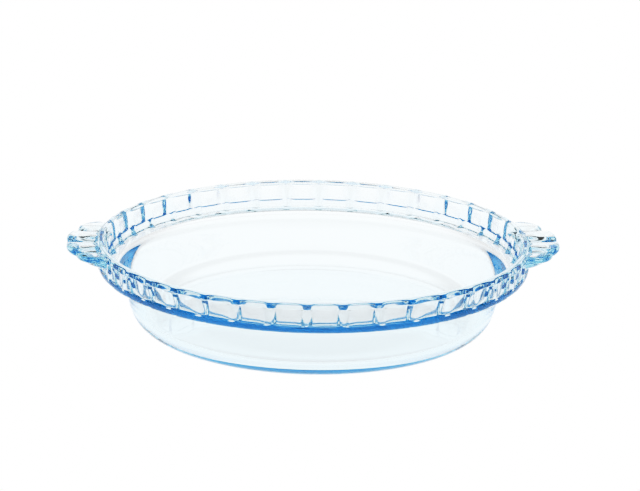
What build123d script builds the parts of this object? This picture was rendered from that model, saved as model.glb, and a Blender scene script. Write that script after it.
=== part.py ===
import os
from math import acos, ceil, cos, degrees, radians, sin, sqrt

from build123d import *

os.makedirs("parts", exist_ok=True)

# A pressed glass pie dish, 264 mm over its two shell handles, moulded in one piece.
# Millimetres, +Z up, origin on the dish's axis at the table, handles along X.
# Radii are measured from the axis, levels from the table.

# Bowl: a flat base, a large round, and a side that leans out to the ledge
ledge_height = 31.3
side_lean = 8.4
side_wall = 4.3
base_thickness = 5.5
base_round = 15.5
inner_base_round = 10.0

# Ledge: the step that carries the fluted collar
ledge_width = 12.0
ledge_thickness = 2.7
ledge_setback = 1.1
ledge_round = 4.0
under_ledge_round = 2.5
inner_ledge_width = 7.9
ledge_inner_round = 8.5

# Rim: a bead on top of the collar, narrow at its crest, with a face that leans outwards
rim_radius = 116.7
collar_height = 13.8
bead_height = 3.0
bead_lean = 1.3
rim_crest_width = 3.0
rim_round = 1.35

# Flutes: flat panels outside, between narrow ribs, and a round channel inside each panel
flute_count = 38
flute_depth = 2.9
flute_step = 1.3
flute_floor_rise = 2.2
rib_width = 1.6
rib_foot_width = 5.6
inner_rib_width = 2.2
inner_flute_depth = 1.8
inner_flute_runout = 0.3

# Handles: two shells, each of four lobes and four flutes wide
handle_pitches = 4
handle_length = 15.6
handle_drop = 0.9
handle_edge_height = 2.7
handle_edge_chamfer = 1.0
handle_root_depth = 3.9
handle_under_draft = 62.0
handle_side_length = 2.6
handle_side_share = 0.87
outer_lobe_setback = 4.7
outer_lobe_share = 0.70
outer_notch_depth = 4.0
middle_notch_depth = 1.1
notch_round = 3.0
groove_radius = 8.0
groove_root_depth = 1.9
groove_tip_depth = 0.9

# Turned rounds are laid as flat bands, which leave the true round by no more than this
band_sag = 0.2

# One overrun serves every cut
overrun = 5.0

# Levels and radii that follow from the sizes above
pitch = 360 / flute_count
ledge_top = ledge_height + ledge_thickness
rim_level = ledge_top + collar_height
bead_underside = rim_level - bead_height
rim_crest_radius = rim_radius - bead_lean
inner_rim_radius = rim_crest_radius - rim_crest_width
ledge_radius = rim_radius - ledge_setback
side_top_radius = ledge_radius - ledge_width
side_foot_radius = side_top_radius - side_lean
inner_side_radius = side_top_radius - side_wall
inner_collar_foot = inner_side_radius + inner_ledge_width
panel_radius = rim_radius - flute_depth
flute_floor = ledge_top + flute_step
inner_flute_half = inner_collar_foot * sin(radians(pitch / 2)) - inner_rib_width / 4
inner_flute_chord = inner_flute_half - inner_rib_width / 4
inner_flute_radius = (inner_flute_chord**2 / inner_flute_depth + inner_flute_depth) / 2
inner_flute_sag = inner_flute_radius - sqrt(inner_flute_radius**2 - inner_flute_half**2)
handle_half = handle_pitches * pitch / 2
handle_root = rim_crest_radius - rim_crest_width / 2
handle_reach = rim_radius + handle_length
handle_top = rim_level - handle_drop
handle_edge_level = handle_top - handle_edge_height


def at(radius, angle):
    """A point in plan, given by its radius and its angle from +X in degrees."""
    return radius * cos(radians(angle)), radius * sin(radians(angle))


def ribbed_line():
    """The collar's outer face in plan: a rib at each flute's start and a flat panel after it."""
    rib_half = degrees(rib_width / rim_radius) / 2
    rib_foot_half = degrees(rib_foot_width / panel_radius) / 2
    corners = []
    for flute in range(flute_count):
        rib = flute * pitch
        corners.append(at(panel_radius, rib - rib_foot_half))
        corners.append(at(rim_radius, rib - rib_half))
        corners.append(at(rim_radius, rib + rib_half))
        corners.append(at(panel_radius, rib + rib_foot_half))
    Polyline(*corners, close=True)


def band_points(edge):
    """Points along an edge: its two ends, and more between them where it is a round."""
    bands = 1
    if edge.geom_type == GeomType.CIRCLE:
        band_turn = 2 * acos(1 - band_sag / edge.radius)
        bands = ceil(edge.length / edge.radius / band_turn)
    return [edge @ (band / bands) for band in range(bands + 1)]


# The outline of the turned body, from the middle of the base round to the inside
with BuildLine() as outline:
    shell = FilletPolyline(
        (0, 0),
        (side_foot_radius, 0),
        (side_top_radius, ledge_height),
        (ledge_radius, ledge_height),
        (rim_radius, bead_underside),
        (rim_crest_radius, rim_level),
        (inner_rim_radius, rim_level),
        (inner_collar_foot, ledge_top),
        (inner_side_radius, ledge_top),
        (side_foot_radius - side_wall, base_thickness),
        (0, base_thickness),
        radius=[
            base_round,
            under_ledge_round,
            ledge_round,
            0,
            rim_round,
            rim_round,
            0,
            ledge_inner_round,
            inner_base_round,
        ],
    )
    Line(shell @ 1, shell @ 0)

# Cutter for the outer flutes: a ring round the collar, less a ribbed core.
# The ring's floor falls outwards, so that each flute drains down to the ledge.
with BuildPart() as outer_flutes:
    with BuildSketch(Plane.XZ):
        with BuildLine():
            Polyline(
                (rim_radius - 2 * flute_depth, flute_floor + flute_floor_rise),
                (rim_radius, flute_floor),
                (rim_radius + overrun, flute_floor),
                (rim_radius + overrun, bead_underside),
                (rim_radius - 2 * flute_depth, bead_underside),
                close=True,
            )
        make_face()
    revolve(axis=Axis.Z)
    with BuildSketch(Plane.XY.offset(ledge_height)):
        with BuildLine():
            ribbed_line()
        make_face()
    extrude(amount=rim_level - ledge_height, mode=Mode.SUBTRACT)

# Cutter for one inner flute: a round channel that stands on the ledge. It leans out less than
# the wall does, so the flute runs out in an arch under the rim and the mould draws straight out.
with BuildPart() as inner_flute:
    flute_foot = Vector(inner_collar_foot + inner_flute_depth, 0, ledge_top)
    flute_head = Vector(inner_rim_radius - inner_flute_runout, 0, rim_level)
    flute_line = flute_head - flute_foot
    with BuildSketch(Plane(origin=flute_foot, x_dir=(0, 1, 0), z_dir=flute_line)):
        with BuildLine():
            ThreePointArc(
                (-inner_flute_half, inner_flute_sag),
                (0, 0),
                (inner_flute_half, inner_flute_sag),
            )
            Polyline(
                (inner_flute_half, inner_flute_sag),
                (inner_flute_half, overrun),
                (-inner_flute_half, overrun),
                (-inner_flute_half, inner_flute_sag),
            )
        make_face()
    extrude(amount=flute_line.length + overrun, both=True)
    split(bisect_by=Plane.XY.offset(ledge_top))

# Handles: a lobed plate whose underside rises outwards, with a groove between each two lobes
with BuildPart() as handles:
    with BuildSketch(Plane.XY.offset(handle_edge_level)) as handle_plan:
        with BuildLine():
            Polyline(at(handle_root, -handle_half), (0, 0), at(handle_root, handle_half))
            for side in (-1, 1):
                side_corner = at(rim_radius + handle_side_length, side * handle_half * handle_side_share)
                outer_notch = at(handle_reach - outer_notch_depth, side * pitch)
                Line(at(handle_root, side * handle_half), side_corner)
                ThreePointArc(
                    side_corner,
                    at(handle_reach - outer_lobe_setback, side * handle_half * outer_lobe_share),
                    outer_notch,
                )
                ThreePointArc(
                    outer_notch,
                    at(handle_reach, side * pitch / 2),
                    at(handle_reach - middle_notch_depth, 0),
                )
        make_face()
        fillet(handle_plan.vertices().filter_by(lambda corner: corner.X > handle_root), radius=notch_round)
    extrude(amount=handle_edge_height)
    top_edges = handles.edges().group_by(Axis.Z)[-1]
    chamfer(top_edges.filter_by(lambda edge: edge.center().X > handle_root), length=handle_edge_chamfer)
    extrude(to_extrude=handle_plan.sketch, amount=-handle_root_depth, taper=handle_under_draft)
    for angle in (-pitch, 0, pitch):
        groove_root = (*at(rim_radius, angle), handle_top - groove_root_depth + groove_radius)
        groove_tip = (*at(handle_reach, angle), handle_top - groove_tip_depth + groove_radius)
        groove_line = Vector(*groove_tip) - Vector(*groove_root)
        with BuildSketch(Plane(origin=groove_root, z_dir=groove_line)):
            Circle(groove_radius)
        extrude(amount=groove_line.length + overrun, mode=Mode.SUBTRACT)
    Cylinder(radius=handle_root, height=2 * rim_level, mode=Mode.SUBTRACT)
    mirror(about=Plane.YZ)

# The dish: the turned body, fluted outside, joined to its handles, then fluted inside
with BuildPart() as pie_dish:
    with BuildSketch(Plane.XZ):
        with BuildLine():
            for edge in outline.edges():
                Polyline(*band_points(edge))
        make_face()
    revolve(axis=Axis.Z)
    add(outer_flutes.part, mode=Mode.SUBTRACT)
    add(handles.part)
    with PolarLocations(0, flute_count, start_angle=pitch / 2):
        add(inner_flute.part, mode=Mode.SUBTRACT)

pie_dish.part.label = "pie_dish"
export_step(pie_dish.part, "parts/pie_dish.step")
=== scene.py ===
from math import cos, pi, radians, sin, tan

import bpy
from mathutils import Matrix, Vector


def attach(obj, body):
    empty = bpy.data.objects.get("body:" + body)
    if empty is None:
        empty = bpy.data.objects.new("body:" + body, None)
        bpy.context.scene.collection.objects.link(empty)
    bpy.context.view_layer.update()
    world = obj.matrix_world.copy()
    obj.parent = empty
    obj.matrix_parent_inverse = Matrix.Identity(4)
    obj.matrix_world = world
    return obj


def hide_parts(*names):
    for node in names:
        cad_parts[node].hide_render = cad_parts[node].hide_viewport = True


# A pie dish of clear pressed glass on a white light table.
# The dish's own sizes are in millimetres and degrees, as on its drawing.

MM = 0.001

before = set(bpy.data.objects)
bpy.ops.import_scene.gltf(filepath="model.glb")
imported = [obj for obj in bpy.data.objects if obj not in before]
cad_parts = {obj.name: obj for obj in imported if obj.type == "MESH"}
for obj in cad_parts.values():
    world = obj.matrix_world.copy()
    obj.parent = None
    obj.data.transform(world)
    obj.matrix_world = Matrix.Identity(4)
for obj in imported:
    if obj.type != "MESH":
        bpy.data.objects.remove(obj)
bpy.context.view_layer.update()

# Bowl
ledge_height = 31.3
side_lean = 8.4
side_wall = 4.3
base_thickness = 5.5
base_round = 15.5
inner_base_round = 10.0

# Ledge
ledge_width = 12.0
ledge_thickness = 2.7
ledge_setback = 1.1
ledge_round = 4.0
under_ledge_round = 2.5
inner_ledge_width = 7.9
ledge_inner_round = 8.5

# Rim
rim_radius = 116.7
collar_height = 13.8
bead_height = 3.0
bead_lean = 1.3
bead_round = 0.5
rim_crest_width = 3.0
rim_round = 1.35

# Flutes, and the ribs between them
flute_count = 38
rib_setback = 0.5
flute_depth = 1.2
flute_step = 2.1
flute_floor_rise = 0.3
flute_round = 0.3
flute_edge_round = 0.7
outer_rib_share = 0.60
panel_sag_share = 0.20
inner_flute_depth = 2.4
inner_flute_runout = 0.3
inner_rib_share = 0.30
inner_sag_share = 0.35
inner_rib_softness = 0.3
inner_foot_round = 0.8

# Handles: each is four flutes wide
handle_pitches = 4
handle_length = 15.55
handle_drop = 0.9
handle_edge_height = 2.7
handle_root_depth = 3.9
handle_under_draft = 62.0
handle_nose = 1.2
handle_side_length = 2.6
outer_lobe_setback = 4.7
outer_notch_depth = 4.0
middle_notch_depth = 1.1
handle_side_share = 0.87
outer_lobe_share = 0.70
notch_softness = 1.2
groove_radius = 8.0
groove_root_depth = 1.9
groove_tip_depth = 0.9
groove_softness = 0.5
handle_growth = 2.5
lobe_fall = 4
handle_top_gather = 1.6

# How finely the glass is divided
steps_per_flute = 22
gather_share = 0.55
least_cut = 0.3
weld = 0.004

# Levels and radii that follow from the sizes above
pitch = 360 / flute_count
ledge_top = ledge_height + ledge_thickness
rim_level = ledge_top + collar_height
bead_underside = rim_level - bead_height
rim_crest_radius = rim_radius - bead_lean
inner_rim_radius = rim_crest_radius - rim_crest_width
ledge_radius = rim_radius - ledge_setback
side_top_radius = ledge_radius - ledge_width
side_foot_radius = side_top_radius - side_lean
inner_side_radius = side_top_radius - side_wall
inner_collar_foot = inner_side_radius + inner_ledge_width
rib_radius = rim_radius - rib_setback
flute_radius = rib_radius - flute_depth
handle_reach = rim_radius + handle_length
handle_top = rim_level - handle_drop
handle_edge_level = handle_top - handle_edge_height


class Number:
    """A number in a node tree. Python's operators on it add Math nodes."""

    def __init__(self, tree, socket):
        self.tree = tree
        self.socket = socket

    def math(self, operation, *others):
        node = self.tree.add("ShaderNodeMath", {"operation": operation}, *(self, *others))
        return Number(self.tree, node.outputs[0])

    def __add__(self, other):
        return self.math("ADD", other)

    def __mul__(self, other):
        return self.math("MULTIPLY", other)

    def __sub__(self, other):
        return self.math("SUBTRACT", other)

    def __truediv__(self, other):
        return self.math("DIVIDE", other)

    def __rsub__(self, other):
        return self * -1 + other

    __radd__ = __add__
    __rmul__ = __mul__

    def sin(self):
        return self.math("SINE")

    def cos(self):
        return self.math("COSINE")

    def floor(self):
        return self.math("FLOOR")

    def sqrt(self):
        return self.math("SQRT")

    def round(self):
        return self.math("ROUND")

    def above(self, other):
        return self.math("MAXIMUM", other)

    def below(self, other):
        return self.math("MINIMUM", other)

    def softly_above(self, other, softness):
        return self.math("SMOOTH_MAX", other, softness)

    def softly_below(self, other, softness):
        return self.math("SMOOTH_MIN", other, softness)

    def eased(self):
        """An S curve from 0 to 1."""
        held = self.above(0).below(1)
        return held * held * (3 - 2 * held)


class Tree:
    """A node tree that is built in calls. One method adds any node."""

    def __init__(self, tree):
        self.tree = tree

    def add(self, kind, settings=None, *values, **named):
        node = self.tree.nodes.new(kind)
        for name, setting in (settings or {}).items():
            setattr(node, name, setting)
        sockets = [*zip(node.inputs, values)]
        sockets += [(node.inputs[name.replace("_", " ")], value) for name, value in named.items()]
        for socket, value in sockets:
            value = getattr(value, "socket", value)
            if isinstance(value, bpy.types.NodeSocket):
                self.tree.links.new(value, socket)
            else:
                socket.default_value = value
        return node

    def split(self, vector):
        outputs = self.add("ShaderNodeSeparateXYZ", None, vector).outputs
        return [Number(self, output) for output in outputs]


# The section of the dish


def corner(rib, flute=None, radius=0.0, steps=0, run=0, **marks):
    """A corner of the section at a rib and in mid flute, and the points on the run after it."""
    flute = flute or rib
    return {"rib": rib, "flute": flute, "radius": radius, "steps": steps, "run": run, **marks}


def face_at(level):
    """The collar's outer face at a level: it leans out from the ledge to the bead."""
    share = (level - ledge_height) / (bead_underside - ledge_height)
    return ledge_radius + ledge_setback * share, level


def section_corners():
    """From the middle of the underside, out and over the rim, to the middle of the bowl."""
    floor_level = ledge_top + flute_step
    floor_inside = floor_level + flute_floor_rise
    return [
        corner((0, 0), run=3),
        corner((side_foot_radius, 0), radius=base_round, steps=8, run=2),
        corner((side_top_radius, ledge_height), radius=under_ledge_round, steps=3, run=2),
        corner((ledge_radius, ledge_height), radius=ledge_round, steps=6),
        corner(face_at(floor_level), radius=flute_edge_round, steps=2, run=1),
        corner(
            face_at(floor_inside + flute_round),
            (flute_radius, floor_inside),
            radius=flute_round,
            steps=3,
            run=3,
            lift_run=True,
        ),
        corner(
            face_at(bead_underside - flute_round),
            (flute_radius, bead_underside),
            radius=flute_round,
            steps=3,
            run=5,
            lift_all=True,
            fin_run=0,
        ),
        corner(
            (rim_radius, bead_underside),
            radius=bead_round,
            steps=6,
            run=9,
            fin_corner=True,
            fin_run=2,
        ),
        corner((rim_crest_radius, rim_level), radius=rim_round, steps=5, run=1),
        corner(
            (inner_rim_radius, rim_level),
            radius=rim_round,
            steps=5,
            run=4,
            inside_run=True,
        ),
        corner(
            (inner_collar_foot, ledge_top),
            (inner_collar_foot + inner_flute_depth, ledge_top),
            radius=inner_foot_round,
            steps=3,
            run=2,
            inside=True,
            inside_run=True,
        ),
        corner((inner_side_radius, ledge_top), radius=ledge_inner_round, steps=5, run=2),
        corner(
            (side_foot_radius - side_wall, base_thickness),
            radius=inner_base_round,
            steps=8,
            run=3,
        ),
        corner((0, base_thickness)),
    ]


def round_points(before, here, after, radius, steps):
    """Points on the round at a corner, which is an arc where the radius is a real one."""
    here = Vector(here)
    if not steps:
        return [here]
    back = (Vector(before) - here).normalized()
    onward = (Vector(after) - here).normalized()
    turn = pi - back.angle(onward)
    cut = max(radius * tan(turn / 2), least_cut)
    weight = cos(turn / 2)
    points = []
    for step in range(steps + 1):
        share = step / steps
        pulls = (1 - share) ** 2, 2 * weight * share * (1 - share), share**2
        pulled = (here + back * cut) * pulls[0] + here * pulls[1] + (here + onward * cut) * pulls[2]
        points.append(pulled / sum(pulls))
    return points


def section_points():
    """Each point of the section at a rib and in mid flute, with its place on the handle."""
    corners = section_corners()
    rows = []
    for place, now in enumerate(corners):
        before = corners[max(place - 1, 0)]
        after = corners[min(place + 1, len(corners) - 1)]
        ribs, flutes = (
            round_points(before[kind], now[kind], after[kind], now["radius"], now["steps"])
            for kind in ("rib", "flute")
        )
        inside = now.get("inside", False)
        lift = 1.0 if now.get("lift_all") else 0.0
        for step, (rib, flute) in enumerate(zip(ribs, flutes)):
            share = step / max(now["steps"], 1)
            fin = (1.0, share, 0.0) if now.get("fin_corner") else None
            rows.append({"rib": rib, "flute": flute, "fin": fin, "lift": lift, "inside": inside})
        if not now["run"]:
            continue
        rows.append({"run": now["run"], "now": now})
    return fill_runs(rows)


def fill_runs(rows):
    """Puts evenly spaced points in each straight run between two rounds."""
    filled = []
    for place, row in enumerate(rows):
        if "run" not in row:
            filled.append(row)
            continue
        start, end, now = rows[place - 1], rows[place + 1], row["now"]
        for step in range(1, row["run"] + 1):
            share = step / (row["run"] + 1)
            fin = None
            if now.get("fin_run") == 0:
                fin = (share, 0.0, 0.0)
            if now.get("fin_run") == 2:
                fin = (1.0, 1.0, 1 - (1 - share) ** handle_top_gather)
            filled.append({
                "rib": start["rib"].lerp(end["rib"], share),
                "flute": start["flute"].lerp(end["flute"], share),
                "fin": fin,
                "lift": share if now.get("lift_run") else 0.0,
                "inside": now.get("inside_run", False),
            })
    return filled


def section_object():
    """The section as a line of points that carry the sizes the tree reads."""
    rows = section_points()
    mesh = bpy.data.meshes.new("section")
    places = [(row["rib"].x, 0, row["rib"].y) for row in rows]
    mesh.from_pydata(places, [(i, i + 1) for i in range(len(rows) - 1)], [])
    columns = {
        "rib": [(*row["rib"], float(row["inside"])) for row in rows],
        "flute": [(*row["flute"], row["lift"]) for row in rows],
        "fin": [row["fin"] or (0.0, 0.0, 0.0) for row in rows],
        "on_fin": [(float(row["fin"] is not None), 0.0, 0.0) for row in rows],
    }
    for name, column in columns.items():
        attribute = mesh.attributes.new(name, "FLOAT_VECTOR", "POINT")
        attribute.data.foreach_set("vector", [value for triple in column for value in triple])
    dish = bpy.data.objects.new("section", mesh)
    bpy.context.collection.objects.link(dish)
    return dish, rows


def circle_through(first, second, third):
    """The circle through three plan points: its centre's radius and angle, and its radius."""
    a, b, c = (
        Vector((radius * cos(turn), radius * sin(turn))) for radius, turn in (first, second, third)
    )
    ab, ac = b - a, c - a
    cross = 2 * (ab.x * ac.y - ab.y * ac.x)
    centre = a + Vector((
        ac.y * ab.length_squared - ab.y * ac.length_squared,
        ab.x * ac.length_squared - ac.x * ab.length_squared,
    )) / cross
    return centre.length, Vector((1, 0)).angle_signed(centre) * -1, (a - centre).length


# The tree that turns the section round the axis


def lobe_reach(turn, circle):
    """How far a handle's lobe reaches at an angle from the handle's middle."""
    centre, centre_turn, radius = circle
    off = turn - centre_turn
    across = off.sin() * centre
    inside = (radius * radius - across * across).above(0).sqrt()
    outside = (across.math("ABSOLUTE") - radius).above(0)
    return off.cos() * centre + inside - outside * lobe_fall


def dish_tree(material, wall_ends, crest_start):
    """Turns the section round the axis, fluted between ribs and drawn out at the handles."""
    group = bpy.data.node_groups.new("turned_dish", "GeometryNodeTree")
    tree = Tree(group)
    sizes = {
        "Flutes": flute_count,
        "Steps": steps_per_flute,
        "Gather": gather_share,
        "Outer rib": outer_rib_share,
        "Panel sag": panel_sag_share,
        "Inner depth": inner_flute_depth,
        "Inner rib": inner_rib_share,
        "Inner sag": inner_sag_share,
        "Inner softness": inner_rib_softness,
        "Inner runout": inner_flute_runout,
        "Rim radius": rim_radius,
        "Handle top": handle_top,
        "Handle nose": handle_nose,
        "Handle edge level": handle_edge_level,
        "Handle root depth": handle_root_depth,
        "Handle growth": handle_growth,
        "Groove root depth": groove_root_depth,
        "Groove tip depth": groove_tip_depth,
        "Groove radius": groove_radius,
        "Notch softness": notch_softness,
    }
    group.interface.new_socket("Section", in_out="INPUT", socket_type="NodeSocketGeometry")
    for name, value in sizes.items():
        kind = "NodeSocketInt" if isinstance(value, int) else "NodeSocketFloat"
        group.interface.new_socket(name, in_out="INPUT", socket_type=kind)
    group.interface.new_socket("Dish", in_out="OUTPUT", socket_type="NodeSocketGeometry")
    given = group.nodes.new("NodeGroupInput").outputs
    size = {name: Number(tree, given[name]) for name in sizes}
    section = given["Section"]

    # A grid with one column for each angle and one row for each point of the section
    count = tree.add("GeometryNodeAttributeDomainSize", None, section).outputs["Point Count"]
    rows = Number(tree, count)
    columns = size["Flutes"] * size["Steps"] + 1
    grid = tree.add(
        "GeometryNodeMeshGrid", None, Size_X=1.0, Size_Y=1.0, Vertices_X=columns, Vertices_Y=rows
    )
    across, along, _ = tree.split(tree.add("GeometryNodeInputPosition").outputs[0])
    index = ((along + 0.5) * (rows - 1)).round()

    def sampled(name):
        source = tree.add("GeometryNodeInputNamedAttribute", {"data_type": "FLOAT_VECTOR"}, name)
        node = tree.add(
            "GeometryNodeSampleIndex",
            {"data_type": "FLOAT_VECTOR"},
            Geometry=section,
            Value=source.outputs["Attribute"],
            Index=index,
        )
        return tree.split(node.outputs[0])

    rib_r, rib_z, inside = sampled("rib")
    flute_r, flute_z, lift = sampled("flute")
    under, nose, top = sampled("fin")
    on_fin, _, _ = sampled("on_fin")

    # The angle of each column: columns gather at the ribs
    turns = (across + 0.5) * size["Flutes"]
    flute = turns.floor()
    phase = turns - flute
    phase = phase - (phase * 2 * pi).sin() * size["Gather"] / (2 * pi)
    angle = (flute + phase) * 2 * pi / size["Flutes"]
    off_middle = 2 * phase - 1
    squared = off_middle * off_middle
    beside_rib = ((1 - off_middle.math("ABSOLUTE")) / size["Outer rib"]).eased()
    outer = beside_rib * (1 - squared * size["Panel sag"])

    # An inner flute is a round channel that leans less than the wall and runs out near the rim
    given_depth = flute_r - rib_r
    channel = given_depth * (size["Inner runout"] / size["Inner depth"] + 1) - size["Inner runout"]
    from_rib = ((1 - off_middle.math("ABSOLUTE")) / size["Inner rib"]).eased()
    sagged = squared * size["Inner sag"] + (1 - from_rib) * (1 - size["Inner sag"])
    inner_cut = (channel - sagged * size["Inner depth"]).softly_above(0, size["Inner softness"])
    cut_r = given_depth * outer + (inner_cut - given_depth * outer) * inside
    depth = outer + (inner_cut / size["Inner depth"] - outer) * inside

    # The handle's reach at this angle, from two round lobes on each side of its middle
    turn = angle.math("WRAP", pi / 2, -pi / 2)
    half = radians(handle_pitches * pitch / 2)
    middle_lobe = circle_through(
        (handle_reach - middle_notch_depth, 0),
        (handle_reach, radians(pitch / 2)),
        (handle_reach - outer_notch_depth, radians(pitch)),
    )
    outer_lobe = circle_through(
        (handle_reach - outer_notch_depth, radians(pitch)),
        (handle_reach - outer_lobe_setback, half * outer_lobe_share),
        (rim_radius + handle_side_length, half * handle_side_share),
    )
    reaches = [
        lobe_reach(turn * side, lobe) for lobe in (outer_lobe, middle_lobe) for side in (1, -1)
    ]
    reach = reaches[0]
    for other in reaches[1:]:
        reach = reach.softly_above(other, size["Notch softness"])
    shown = ((reach - size["Rim radius"]) / size["Handle growth"]).eased()
    tip = reach - size["Handle nose"]

    def underside(radius):
        rise = (reach - radius) / tan(radians(handle_under_draft))
        held = rise.softly_below(size["Handle root depth"], groove_softness)
        return size["Handle edge level"] - held

    def upper_side(radius):
        way_out = (radius - size["Rim radius"]) / handle_length
        shallower = size["Groove tip depth"] - size["Groove root depth"]
        fall = size["Groove root depth"] + shallower * way_out
        level = size["Handle top"]
        for groove_turn in (0, radians(pitch)):
            off = radius * (turn.math("ABSOLUTE") - groove_turn).sin()
            groove = size["Handle top"] - fall + off * off / (2 * size["Groove radius"])
            level = level.softly_below(groove, groove_softness)
        return level

    def bead_face(radius):
        return (size["Rim radius"] - radius) * (bead_height / bead_lean) + bead_underside

    plain_r = rib_r + cut_r
    plain_z = rib_z + (flute_z - rib_z) * depth
    wall_r = wall_ends[0] + (wall_ends[1] - wall_ends[0]) * outer
    under_r = wall_r + (tip - wall_r) * under
    nose_turn = (nose - 0.5) * pi
    top_r = tip + (crest_start - tip) * top
    low = underside(tip)
    high = upper_side(tip)
    nose_z = (low + high) / 2 + nose_turn.sin() * (high - low) / 2
    top_z = upper_side(top_r).softly_above(bead_face(top_r), groove_softness)
    fin_r = under_r + nose_turn.cos() * size["Handle nose"] + top_r - tip
    fin_z = underside(under_r) + nose_z - low + top_z - high
    plain_z = plain_z - lift * shown * (bead_underside - underside(wall_r))
    share = shown * on_fin
    radius = (plain_r + (fin_r - plain_r) * share) * MM
    level = (plain_z + (fin_z - plain_z) * share) * MM

    place = tree.add(
        "ShaderNodeCombineXYZ", None, radius * angle.cos(), radius * angle.sin(), level
    )
    moved = tree.add(
        "GeometryNodeSetPosition", None, Geometry=grid.outputs[0], Position=place.outputs[0]
    )
    welded = tree.add(
        "GeometryNodeMergeByDistance", None, Geometry=moved.outputs[0], Distance=weld * MM
    )
    smooth = tree.add(
        "GeometryNodeSetShadeSmooth", None, Geometry=welded.outputs[0], Shade_Smooth=True
    )
    real = tree.add("GeometryNodeRealizeInstances", None, smooth.outputs[0])
    glazed = tree.add(
        "GeometryNodeSetMaterial", None, Geometry=real.outputs[0], Material=material
    )
    group.links.new(glazed.outputs[0], group.nodes.new("NodeGroupOutput").inputs[0])
    return group, sizes


def glass_dish(material):
    """The dish as one closed mesh."""
    section, rows = section_object()
    fin_rows = [place for place, row in enumerate(rows) if row["fin"]]
    wall_end = rows[fin_rows[0] - 1]
    crest_start = rows[fin_rows[-1] + 1]["rib"].x
    group, sizes = dish_tree(material, (wall_end["rib"].x, wall_end["flute"].x), crest_start)
    modifier = section.modifiers.new("turned_dish", "NODES")
    modifier.node_group = group
    for item in group.interface.items_tree:
        if item.in_out == "INPUT" and item.name in sizes:
            modifier[item.identifier] = sizes[item.name]
    evaluated = section.evaluated_get(bpy.context.evaluated_depsgraph_get())
    mesh = bpy.data.meshes.new_from_object(evaluated)
    dish = bpy.data.objects.new("glass_dish", mesh)
    bpy.context.collection.objects.link(dish)
    bpy.data.objects.remove(section)
    return dish


# The glass. Its tint takes red first, then green, from light on a long way through it.

glass_index = 1.47
glass_tint = (0.0, 0.66, 0.9, 1.0)
glass_tint_per_metre = 13.0


def clear_glass():
    """Clear glass that turns blue where light runs a long way through it."""
    material = bpy.data.materials.new("clear_glass")
    material.use_nodes = True
    tree = Tree(material.node_tree)
    shader = material.node_tree.nodes["Principled BSDF"]
    shader.inputs["Base Color"].default_value = (1, 1, 1, 1)
    shader.inputs["Roughness"].default_value = 0
    shader.inputs["IOR"].default_value = glass_index
    shader.inputs["Transmission Weight"].default_value = 1
    tint = tree.add(
        "ShaderNodeVolumeAbsorption", None, Color=glass_tint, Density=glass_tint_per_metre
    )
    output = material.node_tree.nodes["Material Output"]
    material.node_tree.links.new(tint.outputs[0], output.inputs["Volume"])
    return material


# The table and the light, in metres

table_radius = 1.4
table_sides = 96
table_gap = 0.0003
table_white = (1.0, 1.0, 1.0, 1.0)
light_bounces = 48
glass_bounces = 32

# The studio's brightness by height: 0 is level with the table and 1 is straight above it.
# It is white but for one soft-edged dark belt, which gives the edges of the glass their lines.
studio_bands = [
    (0.0, 1.0),
    (0.3, 1.0),
    (0.42, 0.0),
    (0.6, 0.0),
    (0.75, 1.0),
]


def light_table():
    """A plain white table that glows evenly."""
    bpy.ops.mesh.primitive_circle_add(
        vertices=table_sides, radius=table_radius, fill_type="NGON", location=(0, 0, -table_gap)
    )
    table = bpy.context.object
    table.name = "light_table"
    material = bpy.data.materials.new("table_white")
    material.use_nodes = True
    material.node_tree.nodes.clear()
    tree = Tree(material.node_tree)
    glow = tree.add("ShaderNodeEmission", None, Color=table_white, Strength=1.0)
    output = tree.add("ShaderNodeOutputMaterial")
    material.node_tree.links.new(glow.outputs[0], output.inputs["Surface"])
    table.data.materials.append(material)
    return table


def studio_light():
    """Soft light that is the same all round: it only changes with height."""
    world = bpy.data.worlds.new("studio")
    bpy.context.scene.world = world
    world.use_nodes = True
    tree = Tree(world.node_tree)
    _, _, up = tree.split(tree.add("ShaderNodeTexCoord").outputs["Generated"])
    ramp = tree.add("ShaderNodeValToRGB", None, up)
    stops = ramp.color_ramp.elements
    while len(stops) < len(studio_bands):
        stops.new(1.0)
    for stop, (height, brightness) in zip(stops, studio_bands):
        stop.position = height
        stop.color = (brightness, brightness, brightness, 1)
    background = world.node_tree.nodes["Background"]
    world.node_tree.links.new(ramp.outputs[0], background.inputs["Color"])


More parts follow.
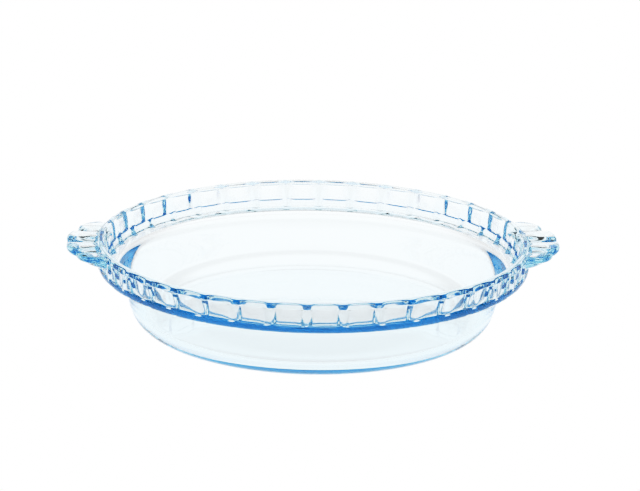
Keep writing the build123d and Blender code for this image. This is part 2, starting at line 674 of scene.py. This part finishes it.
# The picture's contrast: each pair is a brightness and what the picture shows for it.
# It deepens the dark tones, lifts those from the middle up, and keeps black and white.
contrast_curve = [
    (0.000, 0.000),
    (0.045, 0.014),
    (0.102, 0.054),
    (0.238, 0.188),
    (0.402, 0.434),
    (0.610, 0.694),
    (0.791, 0.823),
    (1.000, 1.000),
]


def contrast(view):
    """Runs the picture through the contrast curve."""
    view.use_curve_mapping = True
    curve = view.curve_mapping.curves[3]
    curve.points[0].location = contrast_curve[0]
    curve.points[1].location = contrast_curve[-1]
    for place in contrast_curve[1:-1]:
        curve.points.new(*place)
    for point in curve.points:
        point.handle_type = "VECTOR"
    view.curve_mapping.update()


# The camera, as fitted to the dish's circles in the photograph of 640 by 491 pixels
image_width = 640
focal_pixels = 3259.0
camera_distance = 1.7653
camera_elevation = 0.319043
camera_yaw = radians(3.4)
camera_pan = 0.0022105
camera_tilt = -0.0234950
camera_roll = -0.0176250
pixel_offset = 0.5
sensor_width = 36.0


def photograph_camera():
    """Looks at the dish's foot, then turns a little so that the dish sits as in the picture."""
    away = camera_distance * cos(camera_elevation)
    up = camera_distance * sin(camera_elevation)
    place = Vector((0, -away, up))
    ahead = -place.normalized()
    right = Vector((1, 0, 0))
    aim = Matrix((right, right.cross(ahead), -ahead))
    turns = ((camera_roll, "Z"), (camera_tilt, "X"), (camera_pan, "Y"))
    for turn, axis in reversed(turns):
        aim = Matrix.Rotation(turn, 3, axis) @ aim
    round_dish = Matrix.Rotation(-camera_yaw, 3, "Z")
    camera = bpy.data.objects.new("camera", bpy.data.cameras.new("camera"))
    bpy.context.collection.objects.link(camera)
    facing = round_dish @ aim.transposed()
    camera.matrix_world = Matrix.Translation(round_dish @ place) @ facing.to_4x4()
    camera.data.sensor_width = sensor_width
    camera.data.lens = focal_pixels * sensor_width / image_width
    camera.data.shift_x = -pixel_offset / image_width
    camera.data.shift_y = pixel_offset / image_width
    bpy.context.scene.camera = camera


dish = glass_dish(clear_glass())
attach(dish, "root")
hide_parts("pie_dish")
light_table()
studio_light()
photograph_camera()
scene = bpy.context.scene
scene.view_settings.view_transform = "Standard"
contrast(scene.view_settings)
scene.cycles.max_bounces = light_bounces
scene.cycles.glossy_bounces = glass_bounces
scene.cycles.transmission_bounces = glass_bounces
